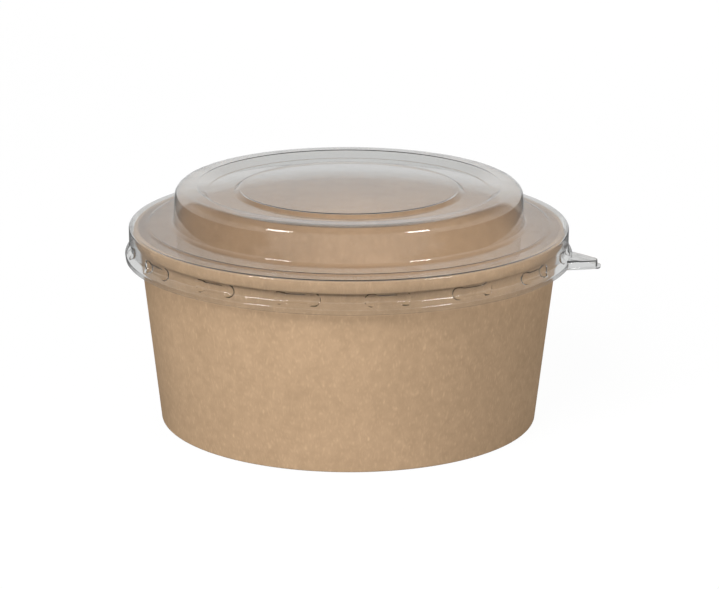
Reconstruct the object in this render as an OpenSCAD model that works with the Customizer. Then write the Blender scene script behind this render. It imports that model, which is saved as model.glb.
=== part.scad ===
// Round take-away salad bowl of coated kraft paper, with a clear thermoformed lid snapped over its
// rolled rim. Millimetres, +Z up, origin at the centre of the foot on the table, pull tab along +X.

/* [Bowl] */
// Outside diameter of the rolled rim
rim_d = 150; // [142:1:180]
// Outside diameter of the foot
base_d = 132; // [110:1:140]
// Height of the bowl, from the table to the top of the roll
bowl_h = 68.6; // [50:0.2:90]
// Thickness of the coated paper
paper_t = 0.4; // [0.3:0.05:0.5]
// How far the roll stands out from the wall, at mid-height of the roll
roll_proud = 1.6; // [1.4:0.1:2.4]
// Height of the rolled rim
roll_h = 4.7; // [4:0.1:6]
// Bulge of the roll's outer face
roll_bulge = 0.35; // [0.2:0.05:0.5]
// Slit between the tucked end of the roll and the wall
tuck_gap = 0.15; // [0.1:0.05:0.25]
// Height of the floor inside the bowl above the table
base_up = 7; // [5:0.5:10]
// Bend between the floor and its turned-down flange
base_bend = 1; // [0.6:0.1:1.5]
// Width of the glued lap where the wall's two ends overlap
lap_w = 9; // [6:0.5:14]
// Glue line between two layers of paper
glue_gap = 0.05; // [0.03:0.01:0.1]

/* [Lid] */
// Thickness of the clear sheet
sheet_t = 0.4; // [0.25:0.05:0.5]
// Room between the lid's seat and the top of the roll
seat_gap = 0.3; // [0.2:0.05:0.6]
// Room between the skirt and the roll
skirt_gap = 1.2; // [1:0.1:1.6]
// Room between the snap lugs and the roll
lug_gap = 0.3; // [0.2:0.05:0.5]
// Height of the crest ring above the seat
dome_h = 13.7; // [9:0.1:20]
// Width of the shelf, from the skirt in to the foot of the dome
shelf_w = 15.4; // [13:0.2:20]
// Width of the seat that lies over the roll
seat_w = 5.7; // [4:0.1:6.5]
// Radial width of the step from the seat up to the shelf
step_w = 1.3; // [0.8:0.1:2]
// Height of that step
step_h = 0.4; // [0.2:0.1:0.6]
// How much the dome's wall leans in towards its top
dome_draft = 0.7; // [0.4:0.1:1.5]
// Bend between the dome's wall and its crest
crest_bend = 2.7; // [2:0.1:3.5]
// Bend at the foot of the dome
foot_bend = 1.6; // [1:0.1:2.2]
// Bends of the shallow rings, the seat's edge and the skirt
small_bend = 0.9; // [0.7:0.05:1.1]

/* [Stacking rings on top of the lid] */
// Width of the crest ring, from the dome's wall in
crest_w = 7.8; // [6:0.1:10]
// Radial width of the slope from the crest into the groove
crest_slope = 3.4; // [2.5:0.1:5]
// Width of the groove's floor
groove_w = 9.2; // [7:0.1:12]
// Depth of the groove below the crest
groove_d = 2.3; // [1.6:0.1:3]
// Radial width of the slope from the groove up to the middle panel
panel_slope = 1.8; // [1.2:0.1:3]
// Depth of the middle panel below the crest
panel_d = 1; // [0.4:0.1:1.4]

/* [Skirt and snap lugs] */
// Height of the skirt, from the seat to its cut edge
skirt_h = 11.3; // [10.6:0.1:14]
// Height of the straight band at the top of the skirt
band_h = 7.6; // [7:0.1:8.4]
// Height of the flare below that band
flare_h = 2; // [1.5:0.1:2.5]
// How far the flare stands out
flare_out = 1.4; // [1:0.1:2]
// How far the lip below the flare turns in again
lip_in = 0.2; // [0:0.1:0.5]
// Number of snap lugs
lug_n = 16; // [8:1:24]
// Length of a lug along the skirt, between the middles of its two end lobes
lug_w = 11.5; // [6:0.5:14]
// Radius of a lug's section between its lobes
lug_r = 1.7; // [1.3:0.1:2]
// Radius of a lug's round end lobes
lobe_r = 2.1; // [1.8:0.1:2.4]
// Height of a lug's centre above the start of the flare
lug_up = 1; // [0.6:0.1:1.4]
// Angle of the first lug from the pull tab
lug_start = 19.2; // [0:0.1:22]

/* [Pull tab] */
// Reach of the tab's raised pad beyond the skirt's edge
tab_reach = 9.2; // [6:0.2:14]
// Width of the pad at its root
tab_root_w = 18; // [12:0.5:26]
// Width of the pad at its tip
tab_tip_w = 4; // [3:0.1:8]
// Bend of the pad's tip corners
tab_tip_bend = 1.2; // [0.8:0.1:1.4]
// Height of the pad above the narrow flat around it
tab_rise = 2.1; // [1.4:0.1:2.6]
// Width of the flat around the pad
tab_flat = 1.1; // [0.8:0.1:2]
// How far the tab's root runs in under the skirt
tab_sunk = 2; // [1.5:0.1:3]
// Droop of the tab, in degrees
tab_droop = 3.5; // [0:0.5:8]

/* [Hidden] */
$fn = 128;
bend_steps = 6;
least_bend = 0.05;
kraft = [0.74, 0.62, 0.50];
kraft_floor = [0.76, 0.65, 0.53];
clear = [0.86, 0.89, 0.89, 0.35];

// The wall is a cone: wall_r(z) is its outside radius, layer_r(z, n) the middle of paper layer n inwards
rim_r = rim_d / 2;
roll_mid = bowl_h - roll_h / 2;
wall_slope = (rim_r - roll_proud - base_d / 2) / roll_mid;
lean = sqrt(1 + wall_slope * wall_slope);
function wall_r(z) = base_d / 2 + wall_slope * z;
function layer_r(z, n) = wall_r(z) - lean * ((n + 0.5) * paper_t + n * glue_gap);

// Levels and radii along the paper wall's middle line
hem_z = paper_t / 2;
hem_bend = paper_t / 2 + least_bend;
hem_top = base_up - paper_t - base_bend;
crown_z = bowl_h - paper_t / 2;
under_z = bowl_h - roll_h + paper_t / 2;
roll_face = rim_r - paper_t / 2;
roll_edge = roll_face - roll_bulge;
roll_w = roll_edge - layer_r(crown_z, 0);
roll_in_bend = 0.38 * roll_w;
roll_out_bend = 0.68 * roll_w;
lap_top = bowl_h - roll_h - tuck_gap;
lap_angle = lap_w / (base_d / 2) * 180 / PI;
floor_z = base_up - paper_t / 2;
flange_z = paper_t + glue_gap;

// Levels and radii along the lid's outer face
seat_z = bowl_h + seat_gap + sheet_t;
shelf_z = seat_z + step_h;
crest_z = seat_z + dome_h;
groove_z = crest_z - groove_d;
panel_z = crest_z - panel_d;
skirt_r = rim_r + skirt_gap + sheet_t;
foot_r = skirt_r - shelf_w;
dome_r = foot_r - dome_draft;
crest_in_r = dome_r - crest_w;
groove_out_r = crest_in_r - crest_slope;
groove_in_r = groove_out_r - groove_w;
panel_r = groove_in_r - panel_slope;
seat_in_r = skirt_r - seat_w;
flare_r = skirt_r + flare_out;
flare_top_z = seat_z - band_h;
flare_low_z = flare_top_z - flare_h;
edge_r = flare_r - lip_in;
edge_z = seat_z - skirt_h;
lug_z = flare_top_z + lug_up;
lug_ring_r = rim_r + lug_gap + sheet_t + lobe_r;
lug_angle = lug_w / skirt_r * 180 / PI;

// A path is a list of corners [r, z, bend]; these functions round it, move it sideways and thicken it
function unit(v) = v / norm(v);
function spot(corner) = [corner[0], corner[1]];
function turn(a, b, c) = sign(cross(b - a, c - b));
function left(a, b) = [a.y - b.y, b.x - a.x] / norm(b - a);
function back_to_front(list) = [for (i = [len(list) - 1 : -1 : 0]) list[i]];

// Arc that rounds the corner b between a and c
function arc(a, b, c, radius) =
    let (
        u = unit(a - b),
        v = unit(c - b),
        half = acos(u * v) / 2,
        centre = b + unit(u + v) * radius / sin(half),
        begin = b + u * radius / tan(half) - centre,
        first = atan2(begin.y, begin.x),
        sweep = turn(a, b, c) * (180 - 2 * half)
    )
    [
        for (i = [0 : bend_steps])
            let (at = first + sweep * i / bend_steps)
                centre + radius * [cos(at), sin(at)]
    ];

// One corner of a path moved sideways, with its bend kept round the same centre
function moved_corner(a, b, c, bend, d) =
    let (n = left(a, b), m = left(b, c))
        concat(b + d * (n + m) / (1 + n * m), max(bend - d * turn(a, b, c), least_bend));

// A whole path moved to its left by d
function moved(path, d) =
    let (p = [for (corner = path) spot(corner)], end = len(path) - 1)
    [
        for (i = [0 : end])
            i == 0 ? concat(p[0] + d * left(p[0], p[1]), 0)
            : i == end ? concat(p[end] + d * left(p[end - 1], p[end]), 0)
            : moved_corner(p[i - 1], p[i], p[i + 1], path[i][2], d)
    ];

// Points along a path, with its bends drawn as arcs
function rounded(path) =
    let (p = [for (corner = path) spot(corner)], end = len(path) - 1)
    [
        for (i = [0 : end])
            each (i == 0 || i == end) ? [p[i]] : arc(p[i - 1], p[i], p[i + 1], path[i][2])
    ];

// Outline of a sheet whose middle line is the path
function sheet(path, thickness) =
    concat(
        rounded(moved(path, thickness / 2)),
        back_to_front(rounded(moved(path, -thickness / 2)))
    );

// Middle line of the wall's paper: up the inside of the hem's end, round the foot, up the cone, over the roll
wall_path = [
    [layer_r(hem_top, 2), hem_top, 0],
    [layer_r(hem_z, 2), hem_z, hem_bend],
    [layer_r(hem_z, 0), hem_z, hem_bend],
    [layer_r(crown_z, 0), crown_z, roll_in_bend],
    [roll_edge, crown_z, roll_out_bend],
    [roll_face, roll_mid, roll_h],
    [roll_edge, under_z, roll_out_bend],
    [wall_r(under_z) + tuck_gap, under_z, 0]
];

// Second layer of paper where the blank's ends overlap
lap_section = [
    [layer_r(0, 0), 0],
    [wall_r(0) + lean * paper_t, 0],
    [wall_r(lap_top) + lean * paper_t, lap_top],
    [layer_r(lap_top, 0), lap_top]
];

// Middle line of the floor's paper, with its flange turned down between the wall and the hem
base_path = [
    [0, floor_z, 0],
    [layer_r(floor_z, 1), floor_z, base_bend],
    [layer_r(flange_z, 1), flange_z, 0]
];

// Outer face of the lid, from the middle of its top to the cut edge of its skirt
lid_path = [
    [0, panel_z, 0],
    [panel_r, panel_z, small_bend],
    [groove_in_r, groove_z, small_bend],
    [groove_out_r, groove_z, small_bend],
    [crest_in_r, crest_z, small_bend],
    [dome_r, crest_z, crest_bend],
    [foot_r, shelf_z, foot_bend],
    [seat_in_r - step_w, shelf_z, small_bend],
    [seat_in_r, seat_z, small_bend],
    [skirt_r, seat_z, small_bend],
    [skirt_r, flare_top_z, small_bend],
    [flare_r, flare_low_z, small_bend],
    [edge_r, edge_z, 0]
];

// Plan of the tab's raised pad, seen from above, from its root round its tip
pad_path = [
    [-tab_sunk, -tab_root_w / 2, 0],
    [tab_reach, -tab_tip_w / 2, tab_tip_bend],
    [tab_reach, tab_tip_w / 2, tab_tip_bend],
    [-tab_sunk, tab_root_w / 2, 0]
];

// One blank of kraft paper, wrapped to a cone, with its rolled rim, its lap and its folded hem
module side_wall() {
    color(kraft) {
        rotate_extrude() polygon(sheet(wall_path, paper_t));
        rotate([0, 0, 90 - lap_angle / 2]) rotate_extrude(angle = lap_angle) polygon(lap_section);
    }
}

// Floor of the bowl, a drawn paper disc
module base_disc() {
    color(kraft_floor) rotate_extrude() polygon(sheet(base_path, paper_t));
}

// The lid's form as the mould sees it, filled in
module lid_form() {
    rotate_extrude() polygon(concat([[0, edge_z]], rounded(lid_path)));
}

// The room inside the lid, open downwards
module lid_hollow() {
    inner = rounded(moved(lid_path, -sheet_t));
    mouth_r = inner[len(inner) - 1].x;
    rotate_extrude() polygon(concat([[0, edge_z - sheet_t]], inner, [[mouth_r, edge_z - sheet_t]]));
}

// Dumb-bells round the skirt where the snap lugs are pressed in, larger all over by grow
module lugs(grow) {
    for (i = [0 : lug_n - 1])
        rotate([0, 0, lug_start + i * 360 / lug_n - lug_angle / 2]) {
            rotate_extrude(angle = lug_angle) translate([lug_ring_r, lug_z]) circle(lug_r + grow);
            for (end = [0, lug_angle])
                rotate([0, 0, end]) translate([lug_ring_r, 0, lug_z]) sphere(lobe_r + grow);
        }
}

// Moves a shape from the tab's own place to the skirt's edge
module at_tab() {
    translate([edge_r, 0, edge_z]) rotate([0, tab_droop, 0]) children();
}

// The tab's form, filled in: a raised pad with a narrow flat around it
module tab_form() {
    at_tab() {
        linear_extrude(sheet_t) polygon(rounded(moved(pad_path, -tab_flat)));
        linear_extrude(sheet_t + tab_rise) polygon(rounded(pad_path));
    }
}

// The room under the tab's pad
module tab_hollow() {
    at_tab() translate([0, 0, -sheet_t])
        linear_extrude(sheet_t + tab_rise) polygon(rounded(moved(pad_path, sheet_t)));
}

// The lid, one clear sheet drawn over all those forms
module lid() {
    color(clear) difference() {
        union() {
            difference() {
                lid_form();
                lugs(0);
            }
            tab_form();
        }
        difference() {
            lid_hollow();
            lugs(sheet_t);
        }
        difference() {
            tab_hollow();
            lid_form();
        }
    }
}

side_wall();
base_disc();
lid();
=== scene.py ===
# %% [markdown]
# # A kraft paper salad bowl with a clear lid
#
# The object has three pieces: a wall of brown kraft paper with a rolled rim, a paper floor, and a lid
# formed from one clear sheet. All three are thin sheets, so each is modelled the same way: the sheet's
# section is drawn as a chain of vertices, spun round the bowl's axis, and then given its thickness.
#
# The imported model comes first, because it fixes where everything is. Its boxes give the heights of the
#  bowl and the lid.

# %% Load the frame
import math

import bmesh
import bpy
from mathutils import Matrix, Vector


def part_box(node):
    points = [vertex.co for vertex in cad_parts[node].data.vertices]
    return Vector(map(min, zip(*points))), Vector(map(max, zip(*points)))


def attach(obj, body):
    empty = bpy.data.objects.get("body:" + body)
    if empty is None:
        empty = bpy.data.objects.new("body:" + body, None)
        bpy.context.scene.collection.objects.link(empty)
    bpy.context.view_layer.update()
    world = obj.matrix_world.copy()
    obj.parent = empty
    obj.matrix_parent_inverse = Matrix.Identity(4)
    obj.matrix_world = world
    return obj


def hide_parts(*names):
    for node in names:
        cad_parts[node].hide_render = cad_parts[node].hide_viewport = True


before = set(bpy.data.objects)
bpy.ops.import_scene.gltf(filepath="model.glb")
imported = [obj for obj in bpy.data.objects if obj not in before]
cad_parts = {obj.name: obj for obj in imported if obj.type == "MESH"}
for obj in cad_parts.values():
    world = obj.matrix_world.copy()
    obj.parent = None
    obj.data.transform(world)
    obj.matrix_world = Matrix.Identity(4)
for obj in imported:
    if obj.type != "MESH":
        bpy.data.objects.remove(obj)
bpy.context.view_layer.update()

MM = 0.001
print("Nodes:", sorted(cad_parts))

# %% [markdown]
# ## The camera
#
# A camera can be placed by eye, or worked out. Here the ellipses of the rim, the dome and the foot in the
# photo gave a long lens about a metre away, 15 degrees above the table. The pull tab points a little
# towards the viewer, so the camera stands 9.5 degrees round from the front. A few millimetres of aim put
# the bowl where the photo has it, with no lens shift.

# %% Place the camera
CAMERA_FROM = 1018.7 * MM
CAMERA_AZIMUTH = math.radians(9.5)
CAMERA_ELEVATION = math.radians(15.46)
CAMERA_ROLL = math.radians(0.24)
LENS_MM, SENSOR_MM = 145.45, 36
AIM_HEIGHT = 49.75 * MM
AIM_RIGHT = 3.79 * MM
AIM_DOWN = 6.47 * MM


def towards(azimuth, elevation):
    """Unit vector from the object; azimuth 0 is the front and grows to the right."""
    flat = math.cos(elevation)
    return Vector((math.sin(azimuth) * flat, -math.cos(azimuth) * flat, math.sin(elevation)))


view_back = towards(CAMERA_AZIMUTH, CAMERA_ELEVATION)
view_right = towards(CAMERA_AZIMUTH + math.pi / 2, 0)
view_up = view_back.cross(view_right)
middle = Vector((0, 0, AIM_HEIGHT))
eye = middle + view_back * CAMERA_FROM
aim = middle + view_right * AIM_RIGHT - view_up * AIM_DOWN

bpy.ops.object.camera_add(location=eye)
camera = bpy.context.object
camera.name = "camera"
camera.rotation_euler = (aim - eye).to_track_quat("-Z", "Y").to_euler()
camera.rotation_euler.rotate_axis("Z", CAMERA_ROLL)
camera.data.lens = LENS_MM
camera.data.sensor_width = SENSOR_MM
bpy.context.scene.camera = camera
print("Camera at (mm):", [round(c / MM) for c in eye])

# %% [markdown]
# ## Drawing a section
#
# A paper or plastic sheet is the same all the way round, so its section says everything. By hand, a
# section is drawn by extruding one vertex from corner to corner, and each corner is rounded by bevelling
# its vertex. A bevel is set by how far it reaches along the edges, so a bend's radius is turned into that
# reach first. A curve object could be drawn instead, but a mesh goes straight on to the spin.

# %% Helpers that draw a section
WELD = 0.001 * MM
BEND_STEPS = 8


def select_only(piece):
    """Makes one object the selected and active one."""
    bpy.ops.object.select_all(action="DESELECT")
    piece.select_set(True)
    bpy.context.view_layer.objects.active = piece


def pick_vertices(piece, test):
    """Selects, in edit mode, the vertices whose place passes the test."""
    bpy.ops.mesh.select_all(action="DESELECT")
    mesh = bmesh.from_edit_mesh(piece.data)
    for vertex in mesh.verts:
        vertex.select = test(vertex.co)
    mesh.select_flush_mode()
    bmesh.update_edit_mesh(piece.data)


def round_corner(piece, before, corner, after, radius, steps):
    """Bevels one vertex of a chain so that the chain bends with that radius."""
    turn = (corner - before).angle(after - corner)
    pick_vertices(piece, lambda place: (place - corner).length < WELD)
    bpy.ops.mesh.bevel(
        offset=radius * math.tan(turn / 2), segments=steps, affect="VERTICES", clamp_overlap=False
    )


def draw_section(name, corners, bend_steps=BEND_STEPS):
    """Draws corners (radius, height, bend) in millimetres as a rounded chain, and stays in edit mode."""
    bpy.ops.object.select_all(action="DESELECT")
    bpy.ops.mesh.primitive_plane_add(size=MM)
    piece = bpy.context.object
    piece.name = piece.data.name = name
    places = [Vector((r, 0, z)) * MM for r, z, bend in corners]
    bpy.ops.object.mode_set(mode="EDIT")
    bpy.ops.mesh.merge(type="CENTER")
    bpy.ops.transform.translate(value=places[0])
    for here, there in zip(places, places[1:]):
        bpy.ops.mesh.extrude_region_move(TRANSFORM_OT_translate={"value": there - here})
    for before, here, after, corner in zip(places, places[1:], places[2:], corners[1:]):
        bend = corner[2]
        if bend > 0:
            round_corner(piece, before, here, after, bend * MM, bend_steps)
    return piece


# %% [markdown]
# ## From a section to a sheet
#
# The spin turns the chain into a surface with no thickness. A Solidify modifier then adds the wall: on both
# sides where the chain is the middle of the sheet, or inwards where it is the outer face. Smooth shading by
# angle comes last, so that bends look round and cut edges stay crisp.

# %% Helpers that make a sheet
SHARP_ANGLE = math.radians(35)


def spin_section(piece, steps, angle=math.tau):
    """Spins the drawn chain round the bowl's axis to a sheet, and leaves edit mode."""
    bpy.ops.mesh.select_all(action="SELECT")
    bpy.ops.mesh.spin(steps=steps, angle=angle, center=(0, 0, 0), axis=(0, 0, 1))
    bpy.ops.mesh.select_all(action="SELECT")
    bpy.ops.mesh.remove_doubles(threshold=WELD)
    bpy.ops.mesh.normals_make_consistent(inside=False)
    bpy.ops.object.mode_set(mode="OBJECT")


def thicken(piece, thickness, offset, even=True):
    """Gives a sheet its wall; offset 0 grows it both ways, -1 inwards; even keeps it full in bends."""
    select_only(piece)
    wall = piece.modifiers.new("wall", "SOLIDIFY")
    wall.thickness = thickness * MM
    wall.offset = offset
    wall.use_even_offset = even
    bpy.ops.object.modifier_apply(modifier=wall.name)


def smooth(piece):
    """Smooth shading, with edges sharper than the angle kept crisp."""
    select_only(piece)
    bpy.ops.object.shade_smooth_by_angle(angle=SHARP_ANGLE)


def report(piece):
    """Prints what a finished piece measures."""
    low = [min(c[i] for c in piece.bound_box) / MM for i in range(3)]
    high = [max(c[i] for c in piece.bound_box) / MM for i in range(3)]
    size = [round(top - bottom, 1) for bottom, top in zip(low, high)]
    triangles = sum(len(face.vertices) - 2 for face in piece.data.polygons)
    print(f"{piece.name}: {size} mm, {triangles} triangles")


# %% [markdown]
# ## The paper wall
#
# The real wall is one blank of coated kraft paper, wrapped to a cone. Its lower edge is folded in and up
# as a hem, and its upper edge is rolled outwards to a firm rim. The section follows the middle of the
# paper: down the inside of the hem, round the foot, up the cone and round the roll to its tucked end. The
# hem, the floor's turned-down edge and the wall lie against each other as three layers, so one function
# gives the radius of each.

# %% Model the wall
STEPS = 192
RIM_R, BASE_R = 75, 66
PAPER_T = 0.4
ROLL_PROUD = 1.6
ROLL_H = 4.7
ROLL_BULGE = 0.35
ROLL_IN_BEND, ROLL_OUT_BEND = 0.38, 0.68
TUCK_GAP = 0.15
BASE_UP = 7
BASE_BEND = 1
GLUE_GAP = 0.05
wall_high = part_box("side_wall")[1]
bowl_h = wall_high.z / MM
roll_mid = bowl_h - ROLL_H / 2
wall_slope = (RIM_R - ROLL_PROUD - BASE_R) / roll_mid
lean = math.hypot(1, wall_slope)


def wall_r(z):
    """Outside radius of the cone at a height."""
    return BASE_R + wall_slope * z


def layer_r(z, layer):
    """Radius of the middle of a paper layer; layer 0 is the wall, 1 the flange, 2 the hem."""
    return wall_r(z) - lean * ((layer + 0.5) * PAPER_T + layer * GLUE_GAP)


hem_bend = PAPER_T / 2 + GLUE_GAP
hem_top = BASE_UP - PAPER_T - BASE_BEND
hem_z = PAPER_T / 2
crown_z = bowl_h - PAPER_T / 2
under_z = bowl_h - ROLL_H + PAPER_T / 2
roll_face = RIM_R - PAPER_T / 2
roll_edge = roll_face - ROLL_BULGE
roll_w = roll_edge - layer_r(crown_z, 0)

wall = draw_section("paper_wall", [
    (layer_r(hem_top, 2), hem_top, 0),
    (layer_r(hem_z, 2), hem_z, hem_bend),
    (layer_r(hem_z, 0), hem_z, hem_bend),
    (layer_r(crown_z, 0), crown_z, ROLL_IN_BEND * roll_w),
    (roll_edge, crown_z, ROLL_OUT_BEND * roll_w),
    (roll_face, roll_mid, ROLL_H),
    (roll_edge, under_z, ROLL_OUT_BEND * roll_w),
    (wall_r(under_z) + TUCK_GAP, under_z, 0),
])
spin_section(wall, STEPS)
thicken(wall, PAPER_T, 0)
report(wall)

# %% [markdown]
# ## The glued lap
#
# Where the blank's two ends overlap, a second layer of paper stands on the wall, from the foot up to the
# roll. It is a short spin of a straight section, at the back of the bowl. Its lower layer would be the
# wall itself, so only the upper one is made, and joined to the wall later.

# %% Model the lap
LAP_W = 9
LAP_STEPS, LAP_CUTS = 12, 12
lap_top = bowl_h - ROLL_H - TUCK_GAP
lap_angle = LAP_W / BASE_R
lap_r = lean * PAPER_T / 2

lap = draw_section("lap", [(wall_r(0) + lap_r, 0, 0), (wall_r(lap_top) + lap_r, lap_top, 0)])
bpy.ops.mesh.select_all(action="SELECT")
bpy.ops.mesh.subdivide(number_cuts=LAP_CUTS)
bpy.ops.mesh.select_all(action="SELECT")
bpy.ops.transform.rotate(
    value=-(math.pi / 2 - lap_angle / 2), orient_axis="Z", center_override=(0, 0, 0)
)
spin_section(lap, LAP_STEPS, lap_angle)
thicken(lap, PAPER_T, 0)
report(lap)

# %% [markdown]
# ## The floor
#
# The floor is a drawn paper disc. Its edge is turned down and glued between the wall and the hem, so that
# the floor lies above the table and the bowl stands on its hem.

# %% Model the floor
floor_z = BASE_UP - PAPER_T / 2
flange_z = PAPER_T + GLUE_GAP
disc = draw_section("paper_floor", [
    (0, floor_z, 0),
    (layer_r(floor_z, 1), floor_z, BASE_BEND),
    (layer_r(flange_z, 1), flange_z, 0),
])
spin_section(disc, STEPS)
thicken(disc, PAPER_T, 0)
smooth(disc)
report(disc)

# %% [markdown]
# ## The lid's sheet
#
# The lid is formed from one clear sheet over a mould: a middle panel, a groove and a crest ring for
# stacking, the dome's wall, a shelf, a seat over the roll, and a skirt that flares at its lower edge. The
# section is that of its outer face, because the mould's bends show there. A corner with no bend marks the
# top of the zone where the snap lugs will be pressed in. Only that zone and the flare get extra vertices,
# which keeps the rest of the sheet light.

# %% Model the lid's sheet
LID_STEPS, LID_BEND_STEPS = 528, 5
SHEET_T = 0.4
SEAT_GAP, SKIRT_GAP = 0.3, 1.2
SHELF_W, SEAT_W = 15.4, 5.7
STEP_W, STEP_H = 1.3, 0.4
DOME_DRAFT = 0.7
CREST_BEND, FOOT_BEND, SMALL_BEND = 3.8, 1.6, 0.9
CREST_W, CREST_SLOPE = 7.8, 3.4
GROOVE_W, GROOVE_D = 9.2, 2.3
PANEL_SLOPE, PANEL_D = 1.8, 1
SKIRT_H, BAND_H = 11.3, 7.6
FLARE_H, FLARE_OUT = 2, 1.4
LIP_IN = 0.2
LUG_ZONE = 3.2
LUG_CUTS, FLARE_CUTS = 6, 3
PAST_TOP_BEND, PAST_LOW_BEND, PAST_ZONE = 0.2, 0.25, 0.1
lid_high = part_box("lid")[1]
seat_z = bowl_h + SEAT_GAP + SHEET_T
shelf_z = seat_z + STEP_H
crest_z = lid_high.z / MM
groove_z = crest_z - GROOVE_D
panel_z = crest_z - PANEL_D
skirt_r = RIM_R + SKIRT_GAP + SHEET_T
foot_r = skirt_r - SHELF_W
dome_r = foot_r - DOME_DRAFT
crest_in_r = dome_r - CREST_W
groove_out_r = crest_in_r - CREST_SLOPE
groove_in_r = groove_out_r - GROOVE_W
seat_in_r = skirt_r - SEAT_W
flare_r = skirt_r + FLARE_OUT
flare_top = seat_z - BAND_H
flare_low = flare_top - FLARE_H
lug_top = flare_top + LUG_ZONE
edge_r = flare_r - LIP_IN
edge_z = seat_z - SKIRT_H


def split_edges(piece, low, high, cuts):
    """Adds vertices to the chain's edges that lie between two heights, in millimetres."""
    pick_vertices(piece, lambda place: low * MM < place.z < high * MM)
    bpy.ops.mesh.subdivide(number_cuts=cuts)


lid = draw_section("clear_lid", [
    (0, panel_z, 0),
    (groove_in_r - PANEL_SLOPE, panel_z, SMALL_BEND),
    (groove_in_r, groove_z, SMALL_BEND),
    (groove_out_r, groove_z, SMALL_BEND),
    (crest_in_r, crest_z, SMALL_BEND),
    (dome_r, crest_z, CREST_BEND),
    (foot_r, shelf_z, FOOT_BEND),
    (seat_in_r - STEP_W, shelf_z, SMALL_BEND),
    (seat_in_r, seat_z, SMALL_BEND),
    (skirt_r, seat_z, SMALL_BEND),
    (skirt_r, lug_top, 0),
    (skirt_r, flare_top, SMALL_BEND),
    (flare_r, flare_low, SMALL_BEND),
    (edge_r, edge_z, 0),
], bend_steps=LID_BEND_STEPS)
split_edges(lid, flare_top + PAST_TOP_BEND, lug_top + PAST_ZONE, LUG_CUTS)
split_edges(lid, flare_low + PAST_LOW_BEND, flare_top - PAST_TOP_BEND, FLARE_CUTS)
spin_section(lid, LID_STEPS)
report(lid)

# %% [markdown]
# ## Where the lugs go
#
# Sixteen small dumb-bells are pressed into the skirt, and hold the lid under the roll: two round lobes with
# a bar between them, all with steep sides. The depth at any place is the deeper of the lobe and the bar.
# The spun columns are first slid a little sideways, so that more of them pass through the lobes.

# %% Lay out the lugs
LUG_N = 16
LUG_START = math.radians(19.2)
LUG_W = 11.5
LUG_UP = 1
LOBE_DEPTH, LOBE_REACH = 0.95, 1.9
BAR_DEPTH, BAR_REACH = 0.5, 1.3
DENT_POWER = 5
COLUMN_SLIDE = math.radians(0.8)
lug_z = flare_top + LUG_UP
lug_pitch = math.tau / LUG_N


def from_lug(angle):
    """Angle from the nearest lug's middle."""
    return (angle - LUG_START + lug_pitch / 2) % lug_pitch - lug_pitch / 2


def dent(distance, reach, depth):
    """Depth of a round dent with steep sides, at a distance from its middle."""
    return depth * max(1 - (distance / reach) ** DENT_POWER, 0)


def lug_weight(place):
    """How deep the sheet is pressed in at a place, as a share of the lobes' depth."""
    along = abs(from_lug(math.atan2(place.y, place.x))) * skirt_r
    up = abs(place.z / MM - lug_z)
    past_end = max(along - LUG_W / 2, 0)
    lobe = dent(math.hypot(along - LUG_W / 2, up), LOBE_REACH, LOBE_DEPTH)
    bar = dent(math.hypot(past_end, up), BAR_REACH, BAR_DEPTH)
    return max(lobe, bar) / LOBE_DEPTH


for vertex in lid.data.vertices:
    angle = math.atan2(vertex.co.y, vertex.co.x)
    slide = COLUMN_SLIDE * math.sin(2 * LUG_N * from_lug(angle))
    radius = math.hypot(vertex.co.x, vertex.co.y)
    vertex.co.x = radius * math.cos(angle + slide)
    vertex.co.y = radius * math.sin(angle + slide)
print("Lugs:", LUG_N, "at height (mm):", round(lug_z, 2))

# %% [markdown]
# ## Pressing the lugs
#
# The lugs could be cut with booleans, but a formed sheet has no sharp edges there. So they are weighted
# into a vertex group, as if painted, and a Displace modifier presses the sheet in by that weight. The sheet
# gets its thickness after that. Solidify's even offset would throw spikes at the steep dents, so it is off.

# %% Press the lugs
SKIRT_MARGIN = 0.1

lugs = lid.vertex_groups.new(name="lugs")
pressed = 0
for vertex in lid.data.vertices:
    on_skirt = math.hypot(vertex.co.x, vertex.co.y) > (skirt_r - SKIRT_MARGIN) * MM
    weight = lug_weight(vertex.co) if on_skirt else 0
    if weight > 0:
        lugs.add([vertex.index], weight, "REPLACE")
        pressed += 1

select_only(lid)
press = lid.modifiers.new("press", "DISPLACE")
press.vertex_group = lugs.name
press.direction = "NORMAL"
press.mid_level = 0
press.strength = -LOBE_DEPTH * MM
bpy.ops.object.modifier_apply(modifier=press.name)
thicken(lid, SHEET_T, -1, even=False)
print("Vertices pressed in:", pressed)
report(lid)

# %% [markdown]
# ## The pull tab
#
# The tab is a narrow flat with a raised pad, drawn from the same sheet at the skirt's edge. By hand it
# starts as a plane: its tip is narrowed and rounded, the pad is inset and raised, and its edges are
# bevelled. Cuts along its length give its root enough vertices to follow the round skirt, and the part
# behind the skirt's edge is cut away.

# %% Model the tab
TAB_REACH, TAB_FLAT = 9.2, 1.1
TAB_ROOT_W, TAB_TIP_W = 18, 4
TAB_TIP_BEND = 1.2
TAB_RISE = 2.1
TAB_SUNK = 2
PAD_DRAFT = 0.3
PAD_EDGE_BEND = 0.4
TIP_SEGMENTS, PAD_SEGMENTS = 6, 4
TAB_ROWS = 9
ROOT_X = -4
tab_taper = (TAB_ROOT_W - TAB_TIP_W) / 2 / (TAB_REACH + TAB_SUNK)
tip_x = TAB_REACH + TAB_FLAT
tip_turn = math.pi / 2 - math.atan(tab_taper)


def flat_half(x):
    """Half the width of the tab's flat at a distance from the skirt's edge."""
    pad = TAB_ROOT_W / 2 - tab_taper * (x + TAB_SUNK)
    return pad + TAB_FLAT * math.hypot(1, tab_taper)


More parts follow.
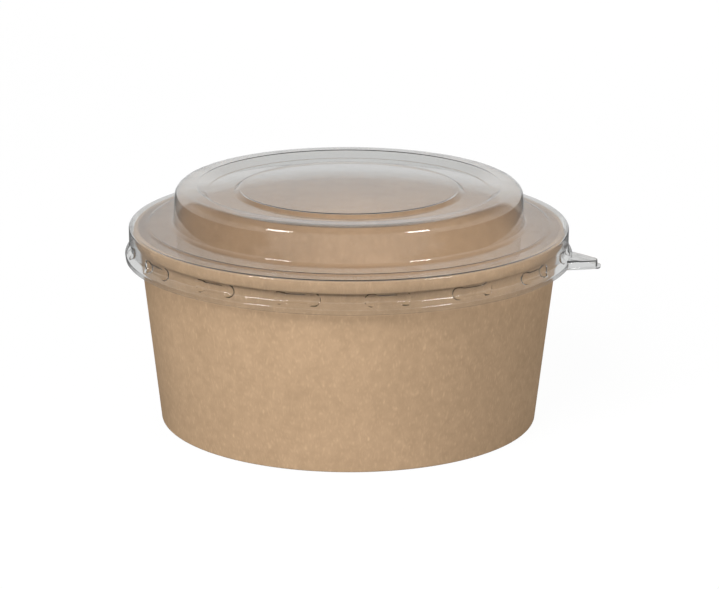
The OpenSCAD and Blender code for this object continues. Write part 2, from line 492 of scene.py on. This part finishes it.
bpy.ops.object.select_all(action="DESELECT")
bpy.ops.mesh.primitive_plane_add(size=2 * MM)
tab = bpy.context.object
tab.name = "tab"
bpy.ops.object.mode_set(mode="EDIT")
bpy.ops.transform.resize(
    value=((tip_x - ROOT_X) / 2, flat_half(ROOT_X), 1), center_override=(0, 0, 0)
)
bpy.ops.transform.translate(value=(MM * (tip_x + ROOT_X) / 2, 0, SHEET_T * MM))
pick_vertices(tab, lambda place: place.x > 0)
bpy.ops.transform.resize(
    value=(1, flat_half(tip_x) / flat_half(ROOT_X), 1), center_override=(0, 0, 0)
)
bpy.ops.mesh.bevel(
    offset=(TAB_TIP_BEND + TAB_FLAT) * MM * math.tan(tip_turn / 2),
    segments=TIP_SEGMENTS, affect="VERTICES", clamp_overlap=False,
)
bpy.ops.mesh.select_all(action="SELECT")
bpy.ops.mesh.inset(thickness=TAB_FLAT * MM)
bpy.ops.mesh.inset(thickness=PAD_DRAFT * MM, depth=TAB_RISE * MM)
pick_vertices(tab, lambda place: place.z > (SHEET_T + TAB_RISE / 2) * MM)
bpy.ops.mesh.bevel(offset=PAD_EDGE_BEND * MM, segments=PAD_SEGMENTS, affect="EDGES")
for row in range(1, TAB_ROWS):
    bpy.ops.mesh.select_all(action="SELECT")
    bpy.ops.mesh.bisect(
        plane_co=(0, MM * flat_half(0) * (2 * row / TAB_ROWS - 1), 0), plane_no=(0, 1, 0)
    )
bpy.ops.mesh.select_all(action="SELECT")
bpy.ops.mesh.bisect(plane_co=(0, 0, 0), plane_no=(1, 0, 0), clear_inner=True)
bpy.ops.object.mode_set(mode="OBJECT")
thicken(tab, SHEET_T, -1)
report(tab)

# %% [markdown]
# ## Laying the tab against the skirt
#
# The tab's root has to end inside the skirt's sheet all the way along, so that the two can become one
# piece. Each vertex of the root is moved to the middle of the sheet at its own height. Then the tab droops
# a little, and goes to the skirt's lower edge.

# %% Place the tab
TAB_DROOP = math.radians(3.5)
ROOT_MARGIN = 0.1


def skirt_mid_r(z):
    """Radius of the middle of the lid's sheet on the lip and the flare."""
    if z > flare_low:
        outer = flare_r - FLARE_OUT * min((z - flare_low) / FLARE_H, 1)
    else:
        outer = edge_r + LIP_IN * (z - edge_z) / (flare_low - edge_z)
    return outer - SHEET_T / 2


for vertex in tab.data.vertices:
    if vertex.co.x < ROOT_MARGIN * MM:
        root = skirt_mid_r(edge_z + vertex.co.z / MM)
        vertex.co.x = MM * (math.sqrt(root**2 - (vertex.co.y / MM) ** 2) - edge_r)
select_only(tab)
bpy.ops.object.mode_set(mode="EDIT")
bpy.ops.mesh.select_all(action="SELECT")
bpy.ops.transform.rotate(value=-TAB_DROOP, orient_axis="Y", center_override=(0, 0, 0))
bpy.ops.transform.translate(value=(edge_r * MM, 0, edge_z * MM))
bpy.ops.object.mode_set(mode="OBJECT")
report(tab)

# %% [markdown]
# ## One sheet
#
# On the real lid the tab's pad is open towards the skirt, because both are drawn from one sheet. So a small
# box first cuts a hatch in the skirt where the pad meets it, and a Boolean union then joins the tab. Two
# shells that only overlap would show their inner faces through the clear sheet.

# %% Join the tab to the lid
HATCH_HALF = 6.9
HATCH_IN = 1.5
HATCH_PAST, HATCH_DROP = 0.5, 0.55


def combine(piece, other, operation):
    """Applies a Boolean of another object to a piece, and removes the other."""
    select_only(piece)
    join = piece.modifiers.new("join", "BOOLEAN")
    join.operation = operation
    join.solver = "EXACT"
    join.object = other
    bpy.ops.object.modifier_apply(modifier=join.name)
    bpy.data.objects.remove(other)


bpy.ops.object.select_all(action="DESELECT")
bpy.ops.mesh.primitive_cube_add(size=2 * MM)
hatch = bpy.context.object
bpy.ops.object.mode_set(mode="EDIT")
bpy.ops.transform.resize(
    value=(HATCH_IN, HATCH_HALF, TAB_RISE / 2 + HATCH_PAST), center_override=(0, 0, 0)
)
bpy.ops.transform.translate(value=(edge_r * MM, 0, (edge_z + TAB_RISE / 2 - HATCH_DROP) * MM))
bpy.ops.object.mode_set(mode="OBJECT")
combine(lid, hatch, "DIFFERENCE")
combine(lid, tab, "UNION")
smooth(lid)
report(lid)

# %% [markdown]
# ## The lap becomes part of the wall
#
# The lap is glued paper of the same blank, so it belongs to the wall's piece. Paper isn't clear, so a plain
# join is enough.

# %% Join the lap to the wall
select_only(wall)
lap.select_set(True)
bpy.ops.object.join()
smooth(wall)
report(wall)

# %% [markdown]
# ## Building with nodes
#
# Materials are trees of nodes. By hand, nodes are added and linked in the shader editor. A few small
# functions do the same here: they add the nodes that come up again and again.

# %% Helpers for nodes
# The Mix node has sockets for each kind of data. These are the numbers of its colour sockets.
MIX_FIRST, MIX_SECOND, MIX_RESULT = 6, 7, 2


def link(tree, source, output, target, entry):
    """Links two sockets by name or number."""
    tree.links.new(source.outputs[output], target.inputs[entry])


def noise_node(tree, name, scale, detail, kind="FBM"):
    """A noise texture with its own scale per metre."""
    node = tree.nodes.new("ShaderNodeTexNoise")
    node.name = node.label = name
    node.noise_type = kind
    node.inputs["Scale"].default_value = scale
    node.inputs["Detail"].default_value = detail
    return node


def spread(tree, low, high, to_low, to_high):
    """A Map Range node that takes one range of values to another."""
    node = tree.nodes.new("ShaderNodeMapRange")
    node.inputs["From Min"].default_value = low
    node.inputs["From Max"].default_value = high
    node.inputs["To Min"].default_value = to_low
    node.inputs["To Max"].default_value = to_high
    return node


def math_node(tree, operation, value=None):
    """A Math node, with its second value where it is fixed."""
    node = tree.nodes.new("ShaderNodeMath")
    node.operation = operation
    if value is not None:
        node.inputs[1].default_value = value
    return node


def colour_mix(tree):
    """A Mix node for two colours."""
    node = tree.nodes.new("ShaderNodeMix")
    node.data_type = "RGBA"
    return node


# %% [markdown]
# ## Kraft paper
#
# Kraft paper is made of unbleached fibres. From a step away it is an even brown with soft clouds, where
# the fibres lie thicker or thinner, and close up it has fine strands. The wall and the floor share this
# look, so it is one node group: a place on the paper goes in, and a tone, a roughness and a height come
# out. Three noises of different size do it: broad clouds, small flocks and ridged strands. A Mapping node
# stretches the strands upwards, to come near the photo's grain.

# %% Start the kraft group
CLOUD_SCALE, FLOCK_SCALE, STRAND_SCALE = 45, 330, 1100
CLOUD_DETAIL, FLOCK_DETAIL, STRAND_DETAIL = 2, 3, 3
STRAND_STRETCH = 0.45

kraft = bpy.data.node_groups.new("Kraft fibres", "ShaderNodeTree")
kraft.interface.new_socket("Place", in_out="INPUT", socket_type="NodeSocketVector")
kraft.interface.new_socket("Dark tone", in_out="INPUT", socket_type="NodeSocketColor")
kraft.interface.new_socket("Light tone", in_out="INPUT", socket_type="NodeSocketColor")
kraft.interface.new_socket("Colour", in_out="OUTPUT", socket_type="NodeSocketColor")
kraft.interface.new_socket("Roughness", in_out="OUTPUT", socket_type="NodeSocketFloat")
kraft.interface.new_socket("Height", in_out="OUTPUT", socket_type="NodeSocketFloat")
group_in = kraft.nodes.new("NodeGroupInput")
group_out = kraft.nodes.new("NodeGroupOutput")
clouds = noise_node(kraft, "clouds", CLOUD_SCALE, CLOUD_DETAIL)
flocks = noise_node(kraft, "flocks", FLOCK_SCALE, FLOCK_DETAIL)
strands = noise_node(kraft, "strands", STRAND_SCALE, STRAND_DETAIL, "RIDGED_MULTIFRACTAL")
grain = kraft.nodes.new("ShaderNodeMapping")
grain.inputs["Scale"].default_value = (1, 1, STRAND_STRETCH)
link(kraft, group_in, "Place", clouds, "Vector")
link(kraft, group_in, "Place", flocks, "Vector")
link(kraft, group_in, "Place", grain, "Vector")
link(kraft, grain, 0, strands, "Vector")
print("Noises per metre:", CLOUD_SCALE, FLOCK_SCALE, STRAND_SCALE)

# %% [markdown]
# ## The fibres' tone
#
# Each noise gets a share in the mix of the dark and the light tone, the strands the largest. Where the
# paper is lighter it is also a little smoother. The strands alone make the height.

# %% Finish the kraft group
NOISE_LOW, NOISE_HIGH, RIDGE_HIGH = 0.3, 0.7, 1.6
CLOUD_SHARE, FLOCK_SHARE, STRAND_SHARE = 0.16, 0.22, 0.85
DARK_ROUGHNESS, LIGHT_ROUGHNESS = 0.72, 0.6

cloud_share = spread(kraft, NOISE_LOW, NOISE_HIGH, 0, CLOUD_SHARE)
flock_share = spread(kraft, NOISE_LOW, NOISE_HIGH, 0, FLOCK_SHARE)
strand_share = spread(kraft, 0, RIDGE_HIGH, 0, STRAND_SHARE)
link(kraft, clouds, 0, cloud_share, "Value")
link(kraft, flocks, 0, flock_share, "Value")
link(kraft, strands, 0, strand_share, "Value")
two = math_node(kraft, "ADD")
three = math_node(kraft, "ADD")
link(kraft, cloud_share, 0, two, 0)
link(kraft, flock_share, 0, two, 1)
link(kraft, two, 0, three, 0)
link(kraft, strand_share, 0, three, 1)
tone = colour_mix(kraft)
link(kraft, three, 0, tone, 0)
link(kraft, group_in, "Dark tone", tone, MIX_FIRST)
link(kraft, group_in, "Light tone", tone, MIX_SECOND)
link(kraft, tone, MIX_RESULT, group_out, "Colour")
rough = spread(kraft, 0, 1, DARK_ROUGHNESS, LIGHT_ROUGHNESS)
link(kraft, three, 0, rough, "Value")
link(kraft, rough, 0, group_out, "Roughness")
link(kraft, strands, 0, group_out, "Height")
print("Kraft group nodes:", len(kraft.nodes))

# %% [markdown]
# ## The paper's finish
#
# The outside and the inside of the bowl are the same coated paper, nearly matt. The floor's two tones are a
# touch lighter than the wall's. A low bump from the strands breaks up the shading a little.

# %% Dress the paper
PAPER_DARK = (0.390, 0.266, 0.162, 1)
PAPER_LIGHT = (0.635, 0.439, 0.278, 1)
FLOOR_DARK = (0.410, 0.285, 0.178, 1)
FLOOR_LIGHT = (0.655, 0.458, 0.294, 1)
PAPER_SPECULAR = 0.05
STRAND_BUMP, STRAND_RISE = 0.12, 0.05 * MM


def paper_material(name, dark, light):
    """A kraft paper with its two tones."""
    material = bpy.data.materials.new(name)
    material.use_nodes = True
    tree = material.node_tree
    shader = tree.nodes["Principled BSDF"]
    shader.inputs["Specular IOR Level"].default_value = PAPER_SPECULAR
    place = tree.nodes.new("ShaderNodeTexCoord")
    fibres = tree.nodes.new("ShaderNodeGroup")
    fibres.node_tree = kraft
    fibres.inputs["Dark tone"].default_value = dark
    fibres.inputs["Light tone"].default_value = light
    bump = tree.nodes.new("ShaderNodeBump")
    bump.inputs["Strength"].default_value = STRAND_BUMP
    bump.inputs["Distance"].default_value = STRAND_RISE
    link(tree, place, "Object", fibres, "Place")
    link(tree, fibres, "Colour", shader, "Base Color")
    link(tree, fibres, "Roughness", shader, "Roughness")
    link(tree, fibres, "Height", bump, "Height")
    link(tree, bump, "Normal", shader, "Normal")
    return material


def dress(piece, material, node, body):
    """Gives a piece its material and its body, and hides the node that it stands for."""
    piece.data.materials.clear()
    piece.data.materials.append(material)
    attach(piece, body)
    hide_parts(node)
    print(piece.name, "rides on", body, "in", material.name)


dress(wall, paper_material("kraft wall", PAPER_DARK, PAPER_LIGHT), "side_wall", "bowl")
dress(disc, paper_material("kraft floor", FLOOR_DARK, FLOOR_LIGHT), "base_disc", "bowl")

# %% [markdown]
# ## The clear sheet
#
# The lid is clear glossy plastic. Its sheet has real thickness, so refraction happens at both faces, and
# flat faces seen at a low angle turn into grey mirrors by themselves. Forming leaves the sheet a little
# uneven, which a broad, low bump gives.

# %% Make the clear sheet
SHEET_TINT = (0.97, 0.975, 0.97, 1)
SHEET_IOR = 1.55
SHEET_ROUGHNESS = 0.05
WAVE_SCALE, WAVE_DETAIL = 90, 1
WAVE_BUMP, WAVE_RISE = 0.15, 0.4 * MM

clear = bpy.data.materials.new("clear sheet")
clear.use_nodes = True
tree = clear.node_tree
sheet = tree.nodes["Principled BSDF"]
sheet.inputs["Base Color"].default_value = SHEET_TINT
sheet.inputs["Transmission Weight"].default_value = 1
sheet.inputs["IOR"].default_value = SHEET_IOR
sheet.inputs["Roughness"].default_value = SHEET_ROUGHNESS
place = tree.nodes.new("ShaderNodeTexCoord")
waves = noise_node(tree, "waves", WAVE_SCALE, WAVE_DETAIL)
uneven = tree.nodes.new("ShaderNodeBump")
uneven.inputs["Strength"].default_value = WAVE_BUMP
uneven.inputs["Distance"].default_value = WAVE_RISE
link(tree, place, "Object", waves, "Vector")
link(tree, waves, 0, uneven, "Height")
link(tree, uneven, "Normal", sheet, "Normal")
print("Clear sheet with IOR", SHEET_IOR)

# %% [markdown]
# ## The clear sheet's shadow
#
# Lamps don't reach through refracting plastic in few samples, so shadow rays meet a plain transparent sheet
# instead. A real sheet reflects more of the light that meets it at a low angle, so the transparent one is
# dimmer where it slants away from the ray. The skirt, with its lugs and its flare, passes a little less
# again, which brings the paper behind it to the photo's tone.

# %% Let the lamps through the lid
SLANT_FROM, SLANT_TO = 0.4, 0.9
FLAT_PASS, SLANT_PASS, SKIRT_PASS = 0.87, 0.3, 0.9
ABOVE_SEAT, BELOW_SHELF = 0.1, 0.1

slant = tree.nodes.new("ShaderNodeLayerWeight")
slant_share = spread(tree, SLANT_FROM, SLANT_TO, FLAT_PASS, SLANT_PASS)
link(tree, slant, "Facing", slant_share, "Value")
axes = tree.nodes.new("ShaderNodeSeparateXYZ")
link(tree, place, "Object", axes, 0)
skirt_share = spread(tree, (seat_z + ABOVE_SEAT) * MM, (shelf_z - BELOW_SHELF) * MM, SKIRT_PASS, 1)
link(tree, axes, "Z", skirt_share, "Value")
passed = math_node(tree, "MULTIPLY")
link(tree, slant_share, 0, passed, 0)
link(tree, skirt_share, 0, passed, 1)
through = tree.nodes.new("ShaderNodeBsdfTransparent")
link(tree, passed, 0, through, "Color")
rays = tree.nodes.new("ShaderNodeLightPath")
either = tree.nodes.new("ShaderNodeMixShader")
link(tree, rays, "Is Shadow Ray", either, 0)
link(tree, sheet, 0, either, 1)
link(tree, through, 0, either, 2)
link(tree, either, 0, tree.nodes["Material Output"], "Surface")
dress(lid, clear, "lid", "lid")

# %% [markdown]
# ## The surround
#
# A white cut-out background is wanted, and clear plastic needs something to show. So camera rays see white,
# while reflections and refractions see a pale grey studio sweep that gets darker overhead: that change is
# what draws the lid's bends as lines. Light that bounced off the paper sees only a plain ambient level. A
# Light Path node tells these rays apart.

# %% Build the surround
SWEEP_GREY, OVERHEAD_GREY = 0.66, 0.25
SWEEP_TOP, OVERHEAD_FROM = 0.3, 0.65
AMBIENT = 0.14
# A ray's Diffuse Depth is 0 before it bounces off a matt face, and 1 or more after that.
BOUNCE_EDGE = 0.5
scene = bpy.context.scene
scene.view_settings.view_transform = "Standard"


def grey(level):
    """A grey of that level as a colour."""
    return (level, level, level, 1)


def seen_level(tree, clear_level):
    """A level of 1 where the camera looks, the given one in and through clear pieces, and else 0."""
    rays = tree.nodes.new("ShaderNodeLightPath")
    clear_ray = math_node(tree, "MAXIMUM")
    link(tree, rays, "Is Glossy Ray", clear_ray, 0)
    link(tree, rays, "Is Transmission Ray", clear_ray, 1)
    unbounced = math_node(tree, "LESS_THAN", BOUNCE_EDGE)
    link(tree, rays, "Diffuse Depth", unbounced, 0)
    in_clear = math_node(tree, "MULTIPLY")
    link(tree, clear_ray, 0, in_clear, 0)
    link(tree, unbounced, 0, in_clear, 1)
    dimmed = math_node(tree, "MULTIPLY")
    link(tree, in_clear, 0, dimmed, 0)
    link(tree, clear_level, 0, dimmed, 1)
    level = math_node(tree, "MAXIMUM")
    link(tree, rays, "Is Camera Ray", level, 0)
    link(tree, dimmed, 0, level, 1)
    return level


world = bpy.data.worlds.new("studio")
scene.world = world
world.use_nodes = True
tree = world.node_tree
heading = tree.nodes.new("ShaderNodeTexCoord")
parts = tree.nodes.new("ShaderNodeSeparateXYZ")
link(tree, heading, "Generated", parts, 0)
sweep = spread(tree, SWEEP_TOP, OVERHEAD_FROM, SWEEP_GREY, OVERHEAD_GREY)
sweep.interpolation_type = "SMOOTHSTEP"
link(tree, parts, "Z", sweep, "Value")
level = math_node(tree, "MAXIMUM", AMBIENT)
link(tree, seen_level(tree, sweep), 0, level, 0)
link(tree, level, 0, tree.nodes["Background"], "Strength")
tree.nodes["Background"].inputs["Color"].default_value = grey(1)
print("Surround:", len(tree.nodes), "nodes")

# %% [markdown]
# ## The ground
#
# The ground is a wide disc just under the foot. Its matt white catches the bowl's shadow. Light that
# bounced off the paper before meets a darker ground, so that not too much of it comes back up.

# %% Lay the ground
GROUND_RADIUS, GROUND_CORNERS = 3, 96
GROUND_SEAM = 0.05 * MM
GROUND_WHITE, GROUND_BOUNCE = 0.9, 0.24

bpy.ops.object.select_all(action="DESELECT")
bpy.ops.mesh.primitive_circle_add(
    vertices=GROUND_CORNERS, radius=GROUND_RADIUS, fill_type="NGON", location=(0, 0, -GROUND_SEAM)
)
ground = bpy.context.object
ground.name = "ground"
ground_paint = bpy.data.materials.new("white ground")
ground_paint.use_nodes = True
tree = ground_paint.node_tree
matt = tree.nodes["Principled BSDF"]
matt.inputs["Roughness"].default_value = 1
matt.inputs["Specular IOR Level"].default_value = 0
rays = tree.nodes.new("ShaderNodeLightPath")
bounced = math_node(tree, "GREATER_THAN", BOUNCE_EDGE)
link(tree, rays, "Diffuse Depth", bounced, 0)
white = colour_mix(tree)
white.inputs[MIX_FIRST].default_value = grey(GROUND_WHITE)
white.inputs[MIX_SECOND].default_value = grey(GROUND_BOUNCE)
link(tree, bounced, 0, white, 0)
link(tree, white, MIX_RESULT, matt, "Base Color")
ground.data.materials.append(ground_paint)
print("Ground:", GROUND_RADIUS, "m in radius")

# %% [markdown]
# ## The ground's glow
#
# To look as white as the background, the ground also glows, but only for rays that the camera sends
# straight or by way of the lid. Seen through the lid it has the sweep's grey. In the lid's reflections it
# is dark, apart from a pale sector behind the bowl: a bright ground would lay a white veil over the dome's
# sides. The sector is found by the direction of a place on the ground from the bowl.

# %% Make the ground glow
GLOW_SHARE = 0.96
GROUND_MIRROR, BACK_MIRROR = 0.14, 0.9
BACK_FROM, BACK_TO = 0.9, 0.97

spot = tree.nodes.new("ShaderNodeTexCoord")
bearing = tree.nodes.new("ShaderNodeVectorMath")
bearing.operation = "NORMALIZE"
link(tree, spot, "Object", bearing, 0)
behind = tree.nodes.new("ShaderNodeVectorMath")
behind.operation = "DOT_PRODUCT"
behind.inputs[1].default_value = -towards(CAMERA_AZIMUTH, 0)
link(tree, bearing, 0, behind, 0)
mirror_level = spread(tree, BACK_FROM, BACK_TO, GROUND_MIRROR, BACK_MIRROR)
link(tree, behind, "Value", mirror_level, "Value")
clear_level = spread(tree, 0, 1, SWEEP_GREY, GROUND_MIRROR)
link(tree, rays, "Glossy Depth", clear_level, "Value")
link(tree, mirror_level, 0, clear_level, "To Max")
seen = seen_level(tree, clear_level)
shown = math_node(tree, "GREATER_THAN", 0)
link(tree, seen, 0, shown, 0)
share = math_node(tree, "MULTIPLY", GLOW_SHARE)
link(tree, shown, 0, share, 0)
glow = tree.nodes.new("ShaderNodeEmission")
link(tree, seen, 0, glow, "Strength")
blend = tree.nodes.new("ShaderNodeMixShader")
link(tree, share, 0, blend, 0)
link(tree, matt, 0, blend, 1)
link(tree, glow, 0, blend, 2)
link(tree, blend, 0, tree.nodes["Material Output"], "Surface")
print("Ground paint:", len(tree.nodes), "nodes")

# %% [markdown]
# ## Lamps
#
# One broad soft box gives the paper its shading. It stands in front, to the left and high, so that the roll
# throws its dark line on the wall. A weak box at the right and one behind keep the bowl's other sides from
# going black. Two small boxes stand lower at both sides of the camera, and the lid's bends mirror them as
# the short bright marks beside the middle. The other boxes aren't mirrored. None is seen through the lid,
# because the shadow rays already bring its light in there.

# %% Set the lamps
# Name, degrees round from the camera, degrees up, metres away, width, height, watts, mirrored.
LAMPS = [
    ("key_box", -25, 42, 1.2, 0.6, 0.6, 16.2, False),
    ("fill_box", 80, 22, 1.3, 0.4, 0.4, 3, False),
    ("back_box", 175, 28, 1.3, 0.6, 0.6, 7, False),
    ("left_box", -46.5, 25, 1.3, 0.34, 0.24, 5, True),
    ("right_box", 46.5, 25, 1.3, 0.34, 0.24, 5.4, True),
]


def soft_box(name, azimuth, elevation, distance, width, height, watts, mirrored):
    """An area lamp that faces the bowl; azimuth is counted from the camera."""
    direction = towards(CAMERA_AZIMUTH + math.radians(azimuth), math.radians(elevation))
    bpy.ops.object.light_add(type="AREA", location=middle + direction * distance)
    lamp = bpy.context.object
    lamp.name = name
    lamp.rotation_euler = (-direction).to_track_quat("-Z", "Y").to_euler()
    lamp.data.shape = "RECTANGLE"
    lamp.data.size = width
    lamp.data.size_y = height
    lamp.data.energy = watts
    lamp.visible_camera = False
    lamp.visible_glossy = mirrored
    lamp.visible_transmission = False
    print(name, watts, "W")


for lamp_values in LAMPS:
    soft_box(*lamp_values)
